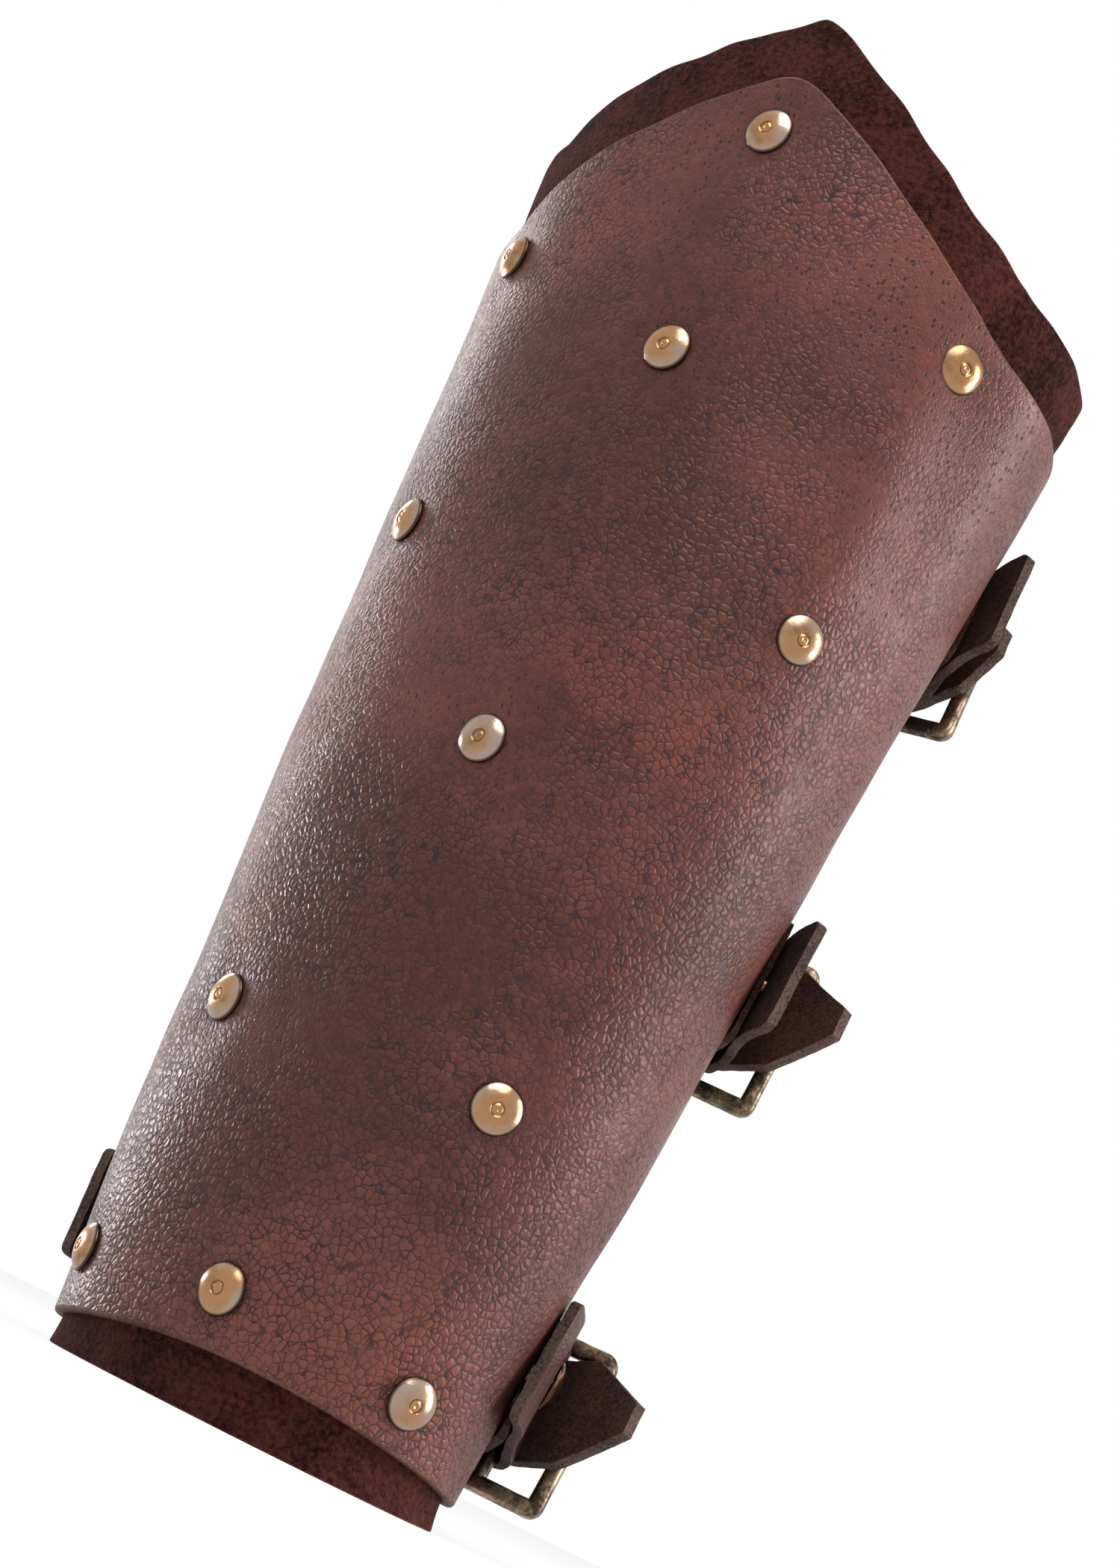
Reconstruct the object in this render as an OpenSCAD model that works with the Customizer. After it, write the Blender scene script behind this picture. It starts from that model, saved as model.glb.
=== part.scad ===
// Leather forearm bracer, standing on the wrist edge of its suede lining.
// +Z runs from wrist to elbow. The back of the arm faces -Y and the buckles are on the +X side.
// Angles run from the centre line of the back, positive towards the buckles.

/* [Forearm section] */
// Mean radius of the shell's grain face at the wrist edge of the lining
wrist_r = 37; // [32:0.5:42]
// Growth of that radius for each millimetre towards the elbow
taper = 0.08; // [0.05:0.005:0.11]
// Flattening of the section, as a share of its radius
flatten = 0.125; // [0.06:0.005:0.14]
// Direction of the flattest side in degrees
flatten_turn = -20; // [-30:1:-10]
// Shift of the section towards the underside, as a share of its radius
underside_shift = 0.05; // [0.02:0.005:0.07]

/* [Outer shell] */
// Thickness of the shell leather
shell_t = 2.4; // [1.8:0.1:3.2]
// Wrap of the shell each side of the centre line, as degrees of mean arc
shell_turn = 120; // [118:1:124]
// Height of the pointed tip at the elbow
tip_z = 254; // [245:1:270]
// Fall of the slanted edges for each millimetre of arc
tip_fall = 0.65; // [0.55:0.01:0.7]
// Rounding of the tip
tip_round = 4; // [2:0.5:8]
// Arc from the centre line to each shoulder
shoulder_u = 54; // [52:1:60]
// Fall of the edge behind the shoulders for each millimetre of arc
rear_fall = 0.1; // [0:0.02:0.2]
// Rounding of the shoulders
shoulder_round = 8; // [4:1:14]
// Outward bow of the slanted edge on the left
left_bow = 3; // [0:0.5:4]
// Outward bow of the slanted edge on the right
right_bow = -1.5; // [-3:0.5:2]
// Height of the wrist edge at its highest
wrist_edge_z = 10.4; // [8:0.2:12]
// Drop of the wrist edge towards the underside
wrist_edge_dip = 6; // [2:0.5:7]
// Arc from the centre line to the highest point of the wrist edge
wrist_edge_crest = 10; // [0:1:15]
// Radius of the shell's four rear corners
corner_r = 8; // [4:1:12]
// Bevel along the cut edges of the shell
edge_bevel = 0.5; // [0.2:0.1:0.8]

/* [Suede lining] */
// Thickness of the suede
lining_t = 1.2; // [0.9:0.1:1.8]
// Reach of the lining past the shell at the tip
lining_past_tip = 14; // [9:0.5:18]
// Rounding of the lining's tip
lining_tip_round = 1; // [0.5:0.5:4]
// Growth of that reach for each millimetre of arc on the left
lining_past_left = 0.15; // [0:0.01:0.2]
// Reach of the lining past the shell's long edges
lining_past_side = 4; // [2:0.5:5]

/* [Studs] */
// Diameter of a stud's cap
cap_d = 9; // [7:0.5:10]
// Height of a stud's cap
cap_h = 2; // [1.5:0.1:2.6]
// Diameter of a stud's hollow stem
stem_d = 3.2; // [2.8:0.1:4]
// Height of the lowest stud on the centre line
centre_low_z = 20; // [17:1:26]
// Height of the middle stud on the centre line
centre_mid_z = 121; // [110:1:130]
// Height of the upper stud on the centre line
centre_high_z = 198; // [185:1:205]
// Distance from the tip down to the tip stud
tip_stud_drop = 11.4; // [9:0.2:16]
// Height of the lowest outer studs
outer_low_z = 17; // [16:1:22]
// Arc from the centre line to the lowest outer studs
outer_low_u = 37; // [30:1:38]
// Height of the outer studs above the wrist
outer_waist_z = 65; // [56:1:80]
// Arc from the centre line to the outer studs above the wrist
outer_waist_u = 29; // [24:1:34]
// Height of the outer studs in the upper half
outer_upper_z = 159; // [145:1:170]
// Arc from the centre line to the outer studs in the upper half
outer_upper_u = 43; // [36:1:48]
// Distance from the slanted edge down to the shoulder studs
shoulder_stud_drop = 10; // [8:0.5:14]
// Arc from the centre line to the shoulder studs
shoulder_stud_u = 49.5; // [44:0.5:52]

/* [Closures] */
// Height of the wrist closure
wrist_closure_z = 31; // [31:0.5:40]
// Height of the middle closure
middle_closure_z = 111; // [100:0.5:125]
// Height of the elbow closure
elbow_closure_z = 193.5; // [175:0.5:196]
// Angle of the buckle rivet at the wrist
wrist_chape_turn = 101; // [99:1:103]
// Angle of the buckle rivet at the middle
middle_chape_turn = 105; // [102:1:106]
// Angle of the buckle rivet at the elbow
elbow_chape_turn = 110; // [106:1:110]
// Angle of the strap rivet at the wrist
wrist_strap_turn = -108; // [-108:1:-100]
// Angle of the strap rivets at the middle and the elbow
upper_strap_turn = -112; // [-113:1:-106]
// Swivel of the wrist buckle about its rivet, towards the wrist
wrist_swivel = 15; // [8:1:17]
// Swivel of the middle buckle about its rivet, towards the wrist
middle_swivel = 12; // [6:1:14]
// Swivel of the elbow buckle about its rivet, towards the wrist
elbow_swivel = 17; // [14:1:17]
// Height of the wrist buckle's centre bar over the tangent at its rivet
wrist_rise = 2; // [1:0.1:2.4]
// Height of the middle buckle's centre bar over the tangent at its rivet
middle_rise = 1; // [0.8:0.1:1.4]
// Height of the elbow buckle's centre bar over the tangent at its rivet
elbow_rise = 1.2; // [1.2:0.1:1.8]
// Angle of the wrist and middle frames over their chapes
lower_frame_angle = 72; // [62:1:76]
// Angle of the elbow frame over its chape
elbow_frame_angle = 56; // [50:1:62]

/* [Straps] */
// Width of the strap leather
strap_w = 21; // [16:0.5:21]
// Thickness of the strap leather
strap_t = 2.2; // [1.8:0.1:2.4]
// Length of the wrist and middle straps' tips beyond the rear bar
strap_tip = 12; // [12:0.5:14]
// Length of the elbow strap's tip beyond the rear bar
elbow_strap_tip = 6; // [5:0.5:12]
// Length of the strap's point
point_len = 14; // [8:0.5:14]
// Width of the strap's blunt end
point_w = 5.5; // [4:0.5:9]
// Length of the strap's riveted end beyond its rivet
strap_heel = 12; // [9:0.5:14]
// Diameter of the punched holes
punch_d = 4; // [3.6:0.1:4.6]

/* [Chapes] */
// Width of the chape leather
chape_w = 23; // [18:0.5:23.5]
// Thickness of the chape leather
chape_t = 1.9; // [1.5:0.1:2.2]
// Length of the chape's free end beyond its rivet
chape_heel = 12; // [10:0.5:14]
// Droop of the chape's free end towards the shell
chape_droop = 1.4; // [0:0.1:1.8]
// Length of the chape's hidden end beyond its rivet
chape_fold_heel = 5; // [4:0.5:5]
// Distance from the rivet to the buckle's centre bar
chape_reach = 19; // [18:0.5:23]
// Cut-off corners of the chape and of the strap's riveted end
leather_chamfer = 3; // [1.5:0.5:4]

/* [Buckles] */
// Length of the buckle frame across the strap
frame_len = 33; // [31:0.5:36]
// Offset of the frame along its centre bar, towards the wrist
frame_offset = 1.2; // [0:0.1:1.4]
// Spacing of the frame's front and rear bars from the centre bar
frame_pitch = 11.5; // [11:0.1:13]
// Width of the frame's outer bars
frame_bar = 3; // [2.4:0.1:3.2]
// Diameter of the centre bar
centre_bar_d = 2.8; // [2.4:0.1:3.2]
// Width of the prong
prong_w = 2.6; // [2:0.1:3]
// Thickness of the prong
prong_t = 1.9; // [1.5:0.1:2.2]

/* [Hidden] */
// Gap between leather layers, and between leather and what lies on it
layer_gap = 0.15;
// More room under the straps, which cut the curve of the shell short
curve_room = 0.25;
// Running clearance of the prong on the centre bar
prong_fit = 0.06;
// Clearance of the folded leather round the centre bar
fold_fit = 0.1;
// Room for the frame to rock before the strap stops it
rock_room = 1.7;
// Clearance of a stud's stem in the leather, and of its pin in the stem
stem_fit = 0.1;
pin_fit = 0.05;
// Wall of a stud's hollow stem
stem_wall = 0.5;
// Room for the flat back of a stud inside the curved lining
back_room = 0.45;
// Offset and slant of the strap in its buckle, towards the elbow
strap_shift = 1;
strap_skew = 0.05;
// Bend of the strap's tip over the rear bar in degrees
tail_bend = 12;
// Drop of each strap's riveted end below its buckle's rivet
heel_drop = 6;
// Turn past the buckle's rivet, on the underside, at which a strap leaves the curve for the buckle
leave_turn = 48;
// Drop of a strap below the curve there
leave_drop = 1.9;
// Dips of a strap towards the wrist at its riveted end and at its buckle, as shares of its run
heel_dip = -0.1;
buckle_dip = 0.16;
// Length of the prong's slot in the strap, and its reach in front of the centre bar
slot_len = 9;
slot_reach = 8.6;
// Drop of the punched holes below the closure's height
punch_drop = 6;

half_bar = frame_bar / 2;
bar_r = centre_bar_d / 2;
fold_r = bar_r + fold_fit + chape_t / 2;
inner_n = layer_gap + chape_t / 2;
outer_n = inner_n + chape_t + layer_gap;
strap_over = bar_r + fold_fit + chape_t + layer_gap + strap_t / 2;
strap_under = half_bar + rock_room + strap_t / 2;
strap_dip = asin(strap_over / norm([frame_pitch, strap_under])) + atan2(strap_under, frame_pitch);
strap_rest = layer_gap + curve_room + strap_t / 2;
leather_depth = shell_t + layer_gap + lining_t;
shoulder_z = tip_z - tip_fall * shoulder_u;
lining_turn = shell_turn + lining_past_side / wrist_r * 180 / PI;
punch_turns = [166, 190];

// A closure is its height, the angles of its buckle rivet, strap rivet and frame, its swivel,
// its centre bar's rise and its strap's tip
WRIST = [wrist_closure_z, wrist_chape_turn, wrist_strap_turn, lower_frame_angle,
    wrist_swivel, wrist_rise, strap_tip];
MIDDLE = [middle_closure_z, middle_chape_turn, upper_strap_turn, lower_frame_angle,
    middle_swivel, middle_rise, strap_tip];
ELBOW = [elbow_closure_z, elbow_chape_turn, upper_strap_turn, elbow_frame_angle,
    elbow_swivel, elbow_rise, elbow_strap_tip];
CLOSURES = [WRIST, MIDDLE, ELBOW];

function unit(v) = v / norm(v);

// The section: radius factor, its rate per radian, and a point on the grain face
function ring_r(h) = wrist_r + taper * h;
function swell(a) = 1 - flatten * cos(2 * (a - flatten_turn)) - underside_shift * cos(a);
function swell_rate(a) = 2 * flatten * sin(2 * (a - flatten_turn)) + underside_shift * sin(a);
function face_pt(a, h, lift = 0) =
    let (r = ring_r(h) * swell(a) + lift)
    [r * sin(a), -r * cos(a), h];

// Directions on the grain face: towards the elbow, outwards and round the arm, square to each other
function up_face(a) = unit([taper * swell(a) * sin(a), -taper * swell(a) * cos(a), 1]);
function level_face(a) =
    let (s = swell(a), d = swell_rate(a))
    [d * sin(a) + s * cos(a), s * sin(a) - d * cos(a), 0];
function out_face(a) = unit(cross(level_face(a), up_face(a)));
function round_face(a) = cross(up_face(a), out_face(a));

// Angle of a point whose arc from the centre line is given in degrees or in millimetres at a height
function arc_share(a) =
    flatten / 2 * (sin(2 * (a - flatten_turn)) + sin(2 * flatten_turn)) + underside_shift * sin(a);
function settle(arc, a, tries) =
    tries == 0 ? a : settle(arc, arc + arc_share(a) * 180 / PI, tries - 1);
function angle_of(arc) = settle(arc, arc, 8);
function arc_len(arc, h) = ring_r(h) * arc * PI / 180;
function turn_of(u, h) = angle_of(u / ring_r(h) * 180 / PI);

// Edges of the shell and the lining as heights along the arc
function soft_step(x, r) = (x + norm([x, r])) / 2;
function straight_slant_z(u, r) =
    tip_z - tip_fall * (norm([u, r]) - r)
        + (tip_fall - rear_fall) * soft_step(abs(u) - shoulder_u, shoulder_round);
function slant_z(u, r) =
    straight_slant_z(u, r)
        + (u < 0 ? left_bow : right_bow) * sin(180 * pow(min(abs(u) / shoulder_u, 1), 2));
function corner_drop(arc, h, limit) =
    let (d = max(0, arc_len(limit - abs(arc), h)))
    d < corner_r ? corner_r - sqrt(corner_r * corner_r - pow(corner_r - d, 2)) : 0;
function shell_top(arc) =
    slant_z(arc_len(arc, shoulder_z), tip_round) - corner_drop(arc, shoulder_z, shell_turn);
function shell_bottom(arc) =
    let (x = min(1, abs(arc_len(arc, 0) - wrist_edge_crest) / 70))
    wrist_edge_z - wrist_edge_dip * pow(sin(90 * x), 2) + corner_drop(arc, 0, shell_turn);
function lining_top(arc) =
    let (u = arc_len(arc, shoulder_z))
    slant_z(u, lining_tip_round) + lining_past_tip + lining_past_left * max(0, -u)
        - corner_drop(arc, shoulder_z, lining_turn);

// Columns round the arm as degrees of arc, closer together at the tip and at the rear corners
function columns(limit, n = 36) =
    let (step = limit / n, fine = [0.3, 0.6, 1, 1.5, 2, 3],
        side = concat(fine * step, [for (i = [4:n - 3]) i * step],
            [for (k = [2.4, 1.8, 1.2, 0.8, 0.5, 0.25, 0.1, 0]) limit - k * step]))
    concat([for (i = [len(side) - 1:-1:0]) -side[i]], [0], side);

// Faces of a tube swept through rings of points, with flat ends
function swept_faces(rings, points) = concat(
    [for (i = [0:rings - 2], k = [0:points - 1])
        let (m = (k + 1) % points)
        [i * points + k, i * points + m, (i + 1) * points + m, (i + 1) * points + k]],
    [[for (k = [points - 1:-1:0]) k]],
    [[for (k = [0:points - 1]) (rings - 1) * points + k]]);

// Places things on the grain face with +Z outwards and +Y towards the elbow
module on_face(a, h) {
    x = round_face(a);
    y = up_face(a);
    z = out_face(a);
    p = face_pt(a, h);
    multmatrix([
        [x[0], y[0], z[0], p[0]],
        [x[1], y[1], z[1], p[1]],
        [x[2], y[2], z[2], p[2]],
        [0, 0, 0, 1]])
    children();
}

// Axes of a closure at its buckle rivet: outwards, towards the underside and along the centre bar
function closure_out(c) = out_face(c[1]);
function closure_back(c) = round_face(c[1]) * cos(c[4]) - up_face(c[1]) * sin(c[4]);
function closure_up(c) = up_face(c[1]) * cos(c[4]) + round_face(c[1]) * sin(c[4]);
function closure_pt(c, n, t, g = 0) =
    face_pt(c[1], c[0]) + n * closure_out(c) + t * closure_back(c) + g * closure_up(c);

// Places a closure's parts: X outwards, Y towards the underside, Z along the centre bar
module at_closure(c) {
    x = closure_out(c);
    y = closure_back(c);
    z = closure_up(c);
    p = face_pt(c[1], c[0]);
    multmatrix([
        [x[0], y[0], z[0], p[0]],
        [x[1], y[1], z[1], p[1]],
        [x[2], y[2], z[2], p[2]],
        [0, 0, 0, 1]])
    children();
}

// Places a buckle's parts on its centre bar: X towards the rear bar, Y over the frame
module at_buckle(c) {
    at_closure(c)
    translate([c[5], chape_reach, 0])
    rotate([0, 0, c[3] - 90])
    children();
}

// Point of a buckle given along its frame, over it and along its bar
function buckle_pt(c, i, o, g) = closure_pt(c,
    c[5] + i * sin(c[3]) + o * cos(c[3]),
    chape_reach - i * cos(c[3]) + o * sin(c[3]), g);

module outer_shell() {
    cols = columns(shell_turn);
    b = edge_bevel;
    pts = [for (arc = cols)
        let (a = angle_of(arc), lo = shell_bottom(arc), hi = shell_top(arc))
        each [
            face_pt(a, lo + b), face_pt(a, hi - b),
            face_pt(a, hi, -b), face_pt(a, hi, b - shell_t),
            face_pt(a, hi - b, -shell_t), face_pt(a, lo + b, -shell_t),
            face_pt(a, lo, b - shell_t), face_pt(a, lo, -b)]];
    color("saddlebrown")
    difference() {
        polyhedron(pts, swept_faces(len(cols), 8), convexity = 6);
        stem_holes();
    }
}

module suede_lining() {
    cols = columns(lining_turn);
    face = -shell_t - layer_gap;
    pts = [for (arc = cols)
        let (a = angle_of(arc), hi = lining_top(arc))
        each [
            face_pt(a, 0, face), face_pt(a, hi, face),
            face_pt(a, hi, face - lining_t), face_pt(a, 0, face - lining_t)]];
    color([0.3, 0.12, 0.1])
    difference() {
        polyhedron(pts, swept_faces(len(cols), 4), convexity = 6);
        stem_holes();
    }
}

// Places of the twelve studs as [angle, height]
function stud_at(u, h) = [turn_of(u, h), h];
function stud_places() =
    let (shoulder_stud_z = straight_slant_z(shoulder_stud_u, tip_round) - shoulder_stud_drop)
    concat(
        [for (h = [centre_low_z, centre_mid_z, centre_high_z, tip_z - tip_stud_drop]) [0, h]],
        [for (s = [-1, 1]) each [
            stud_at(s * outer_low_u, outer_low_z),
            stud_at(s * outer_waist_u, outer_waist_z),
            stud_at(s * outer_upper_u, outer_upper_z),
            stud_at(s * shoulder_stud_u, shoulder_stud_z)]]);

module stem_hole() {
    translate([0, 0, -leather_depth - 3])
    cylinder(d = stem_d + 2 * stem_fit, h = leather_depth + 6, $fn = 24);
}

module stem_holes() {
    for (s = stud_places()) on_face(s[0], s[1]) stem_hole();
    for (c = CLOSURES) {
        on_face(c[1], c[0]) stem_hole();
        on_face(c[2], strap_heel_z(c)) stem_hole();
    }
}

// Cap of a stud with its pin, seated at height seat over the grain face
module stud_cap(seat) {
    r = cap_d / 2;
    pin_r = stem_d / 2 - stem_wall - pin_fit;
    pin_end = -leather_depth - back_room + pin_fit;
    rim = cap_h * 0.3;
    dome = [for (x = [0.92, 0.8, 0.65, 0.5, 0.35, 0.24]) [r * x, rim + (cap_h - rim) * sqrt(1 - x * x)]];
    ring = [[r * 0.21, cap_h * 0.92], [r * 0.16, cap_h * 0.92], [r * 0.13, cap_h], [0, cap_h]];
    rotate_extrude($fn = 40)
    polygon(concat(
        [[0, pin_end], [pin_r, pin_end], [pin_r, seat], [r * 0.94, seat], [r, seat + rim * 0.5]],
        [for (p = concat(dome, ring)) p + [0, seat]]));
}

// Back of a stud with its hollow stem, inside the lining
module stud_back(seat) {
    r = cap_d / 2;
    face = -leather_depth - back_room;
    stem_r = stem_d / 2;
    rotate_extrude($fn = 40)
    polygon([
        [0, face - 0.9], [r * 0.8, face - 0.9], [r, face - 0.5], [r, face], [stem_r, face],
        [stem_r, seat - 2 * pin_fit], [stem_r - stem_wall, seat - 2 * pin_fit],
        [stem_r - stem_wall, face], [0, face]]);
}

module stud_caps() {
    color([0.72, 0.6, 0.4])
    for (s = stud_places()) on_face(s[0], s[1]) stud_cap(pin_fit);
}

module stud_backs() {
    color([0.6, 0.52, 0.38])
    for (s = stud_places()) on_face(s[0], s[1]) stud_back(pin_fit);
}

// Cap and back of the rivet that holds a chape
module chape_rivet(c) {
    seat = outer_n + chape_t / 2 + pin_fit;
    color([0.7, 0.6, 0.42])
    on_face(c[1], c[0]) {
        stud_cap(seat);
        stud_back(seat);
    }
}

// Cap and back of the rivet that holds a strap
module strap_rivet(c) {
    seat = strap_rest + strap_t / 2 + pin_fit;
    color([0.7, 0.6, 0.42])
    on_face(c[2], strap_heel_z(c)) {
        stud_cap(seat);
        stud_back(seat);
    }
}

// Centre line of the folded chape as [n, t], from the hidden end round the bar to the free end
function chape_path(rise) = concat(
    [[inner_n, -chape_fold_heel], [inner_n, chape_reach / 4], [inner_n - 0.4, chape_reach / 2]],
    [for (a = [-105:15:90]) [rise + fold_r * sin(a), chape_reach + fold_r * cos(a)]],
    [[outer_n + 0.2, cap_d / 2 + 3], [outer_n, cap_d / 2], [outer_n, -cap_d / 2 - 0.5],
        [outer_n - chape_droop * 0.3, -cap_d / 2 - 3], [outer_n - chape_droop, -chape_heel]]);

// Outline of a strip of even thickness along a path
function path_side(path, half) = [for (i = [0:len(path) - 1])
    let (a = path[max(0, i - 1)], b = path[min(len(path) - 1, i + 1)], d = unit(b - a))
    path[i] + half * [-d[1], d[0]]];
function reversed(list) = [for (i = [len(list) - 1:-1:0]) list[i]];
function strip(path, t) = concat(path_side(path, t / 2), reversed(path_side(path, -t / 2)));

module chape(c) {
    slot_w = prong_w + 1.8;
    slot_len = 2 * (fold_r + chape_t);
    color([0.25, 0.13, 0.1])
    at_closure(c)
    difference() {
        translate([0, 0, -chape_w / 2])
        linear_extrude(chape_w)
        polygon(strip(chape_path(c[5]), chape_t));
        translate([c[5] - slot_len, chape_reach - slot_len / 2, -slot_w / 2])
        cube([2 * slot_len, slot_len, slot_w]);
        rotate([0, 90, 0])
        translate([0, 0, -1])
        cylinder(d = stem_d + 2 * stem_fit, h = 8, $fn = 24);
        for (s = [-1, 1])
        translate([0, -chape_heel, s * chape_w / 2])
        rotate([0, 90, 0])
        rotate([0, 0, 45])
        translate([-leather_chamfer / sqrt(2), -leather_chamfer / sqrt(2), -1])
        cube([leather_chamfer * sqrt(2), leather_chamfer * sqrt(2), 10]);
    }
}

// Rounded rectangle as points, for the layers of a frame
function round_rect(w, h, r) = [for (q = [0:3], k = [0:4])
    let (a = 90 * q + 22.5 * k, sx = (q == 0 || q == 3) ? 1 : -1, sy = q < 2 ? 1 : -1)
    [sx * (w / 2 - r) + r * cos(a), sy * (h / 2 - r) + r * sin(a)]];

module frame_layer(inset) {
    w = 2 * frame_pitch + frame_bar;
    difference() {
        polygon(round_rect(w - 2 * inset, frame_len - 2 * inset, frame_bar));
        polygon(round_rect(w - 2 * frame_bar + 2 * inset, frame_len - 2 * frame_bar + 2 * inset, 1));
    }
}

// Buckle frame: outer ring of three layers and a round centre bar
module buckle_frame(c) {
    soft = frame_bar * 0.2;
    color([0.5, 0.4, 0.25])
    at_buckle(c)
    translate([0, 0, -frame_offset]) {
        rotate([90, 0, 0]) {
            translate([0, 0, -half_bar + soft])
            linear_extrude(frame_bar - 2 * soft)
            frame_layer(0);
            for (z = [-half_bar, half_bar - soft])
            translate([0, 0, z])
            linear_extrude(soft)
            frame_layer(soft);
        }
        translate([0, 0, half_bar - frame_len / 2])
        cylinder(r = bar_r, h = frame_len - frame_bar, $fn = 32);
    }
}

// Prong: an eye on the centre bar and a flat shank that rests on the front bar
module buckle_prong(c) {
    eye_r = bar_r + prong_fit + prong_t * 0.8;
    rest = half_bar + prong_fit;
    tip_i = -frame_pitch - half_bar - 1;
    eye = [for (a = [-145:15:95]) eye_r * [cos(a), sin(a)]];
    shank = [
        [-eye_r, rest + prong_t], [tip_i + 1.2, rest + prong_t],
        [tip_i, rest + prong_t * 0.5], [tip_i, rest], [-eye_r - 0.6, rest]];
    color([0.55, 0.45, 0.28])
    at_buckle(c)
    difference() {
        translate([0, 0, -prong_w / 2])
        linear_extrude(prong_w)
        polygon(concat(eye, shank));
        translate([0, 0, -prong_w])
        cylinder(r = bar_r + prong_fit, h = 2 * prong_w, $fn = 32);
    }
}

// Height of the strap's riveted end
function strap_heel_z(c) = c[0] - heel_drop;

// Smooth curve through the neighbourhood of control rows
function spline_row(rows, i, x) =
    let (n = len(rows) - 1, a = rows[max(0, i - 1)], b = rows[i], c = rows[min(n, i + 1)])
    a * pow(1 - x, 2) / 2 + b * (0.5 + x * (1 - x)) + c * x * x / 2;
function spline(rows, steps) = concat([rows[0]],
    [for (i = [0:len(rows) - 1], k = [0:steps - 1]) spline_row(rows, i, k / steps)],
    [rows[len(rows) - 1]]);

// Control rows of a strap: centre, direction of its width and half width
function strap_row(p, w, half) = [p[0], p[1], p[2], w[0], w[1], w[2], half];
function buckle_row(c, i, o, half) =
    strap_row(buckle_pt(c, i, o, strap_shift + strap_skew * i), closure_up(c), half);

// Height of the strap on its way round the underside, dipping towards the wrist
function wrap_z(c, x, end_z) =
    let (run = ring_r(c[0]) * (360 + c[2] - c[1] - leave_turn) * PI / 180)
    strap_heel_z(c) * (2 * pow(x, 3) - 3 * x * x + 1) + heel_dip * run * (pow(x, 3) - 2 * x * x + x)
        + end_z * (3 * x * x - 2 * pow(x, 3)) + buckle_dip * run * (pow(x, 3) - x * x);

function strap_rows(c) =
    let (half = strap_w / 2, heel_half = half - leather_chamfer, base = face_pt(c[2], strap_heel_z(c)),
        out = out_face(c[2]), along = round_face(c[2]), up = up_face(c[2]),
        last = c[1] + leave_turn - 360,
        end_z = buckle_pt(c, -frame_pitch - half_bar - strap_under, -strap_under, 0)[2],
        over = [for (a = [90 - strap_dip:strap_dip / 3:91 + strap_dip])
            buckle_row(c, strap_over * cos(a), strap_over * sin(a), half)])
    concat(
        [for (s = [strap_heel, strap_heel - leather_chamfer])
            strap_row(base + out * strap_rest + along * s, up, s == strap_heel ? heel_half : half)],
        [for (s = [6, 0]) strap_row(base + out * strap_rest + along * s, up, half)],
        [for (k = [1:9])
            let (x = k / 9, a = c[2] + (last - c[2]) * x)
            strap_row(face_pt(a, wrap_z(c, x, end_z), strap_rest + curve_room - leave_drop * x * x),
                up_face(a), half)],
        [buckle_row(c, -frame_pitch - 3.5, -strap_under - 0.3, half),
            buckle_row(c, -frame_pitch, -strap_under - 0.5, half),
            buckle_row(c, -frame_pitch + 2.5, -strap_under + 1.2, half)],
        reversed(over),
        [buckle_row(c, frame_pitch - 2, -strap_under + 2 * tan(strap_dip), half),
            buckle_row(c, frame_pitch, -strap_under, half)]);

function strap_tail(c) =
    let (half = strap_w / 2, turn = tail_bend - strap_dip, d = [cos(turn), sin(turn)],
        start = [frame_pitch, -strap_under],
        point = start + d * max(0, c[6] - point_len), tip = start + d * c[6])
    [buckle_row(c, point[0], point[1], half), buckle_row(c, tip[0], tip[1], point_w / 2)];

// Corner points of a strap's section at each of its rows
function ribbon_points(rows) = [for (i = [0:len(rows) - 1])
    let (a = rows[max(0, i - 1)], b = rows[min(len(rows) - 1, i + 1)], r = rows[i],
        d = unit([b[0] - a[0], b[1] - a[1], b[2] - a[2]]),
        w = unit([r[3], r[4], r[5]]), n = unit(cross(d, w)) * strap_t / 2,
        p = [r[0], r[1], r[2]], h = unit(cross(n, d)) * r[6])
    each [p + n - h, p + n + h, p - n + h, p - n - h]];

module strap(c) {
    body = spline(strap_rows(c), 3);
    tail = strap_tail(c);
    rows = concat([for (i = [1:len(body) - 2]) body[i]], tail);
    color([0.22, 0.11, 0.09])
    difference() {
        polyhedron(ribbon_points(rows), swept_faces(len(rows), 4), convexity = 8);
        on_face(c[2], strap_heel_z(c)) cylinder(d = stem_d + 2 * stem_fit, h = 12, center = true, $fn = 24);
        at_buckle(c) prong_slot();
        for (a = punch_turns)
        on_face(a, c[0] - punch_drop)
        cylinder(d = punch_d, h = 16, center = true, $fn = 24);
    }
}

// Slot in the strap that lets the prong through between the centre bar and the front bar
module prong_slot() {
    rotate([0, 0, strap_dip])
    translate([-slot_reach, 0, 0])
    rotate([-90, 0, 0]) {
        translate([0, -punch_d / 2, 0])
        cube([slot_len, punch_d, 9]);
        for (x = [0, slot_len])
        translate([x, 0, 0])
        cylinder(d = punch_d, h = 9, $fn = 24);
    }
}

outer_shell();
suede_lining();
stud_caps();
stud_backs();
strap(WRIST);  // wrist_strap
chape(WRIST);  // wrist_chape
buckle_frame(WRIST);  // wrist_buckle_frame
buckle_prong(WRIST);  // wrist_buckle_prong
strap_rivet(WRIST);  // wrist_strap_rivet
chape_rivet(WRIST);  // wrist_chape_rivet
strap(MIDDLE);  // middle_strap
chape(MIDDLE);  // middle_chape
buckle_frame(MIDDLE);  // middle_buckle_frame
buckle_prong(MIDDLE);  // middle_buckle_prong
strap_rivet(MIDDLE);  // middle_strap_rivet
chape_rivet(MIDDLE);  // middle_chape_rivet
strap(ELBOW);  // elbow_strap
chape(ELBOW);  // elbow_chape
buckle_frame(ELBOW);  // elbow_buckle_frame
buckle_prong(ELBOW);  // elbow_buckle_prong
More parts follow.
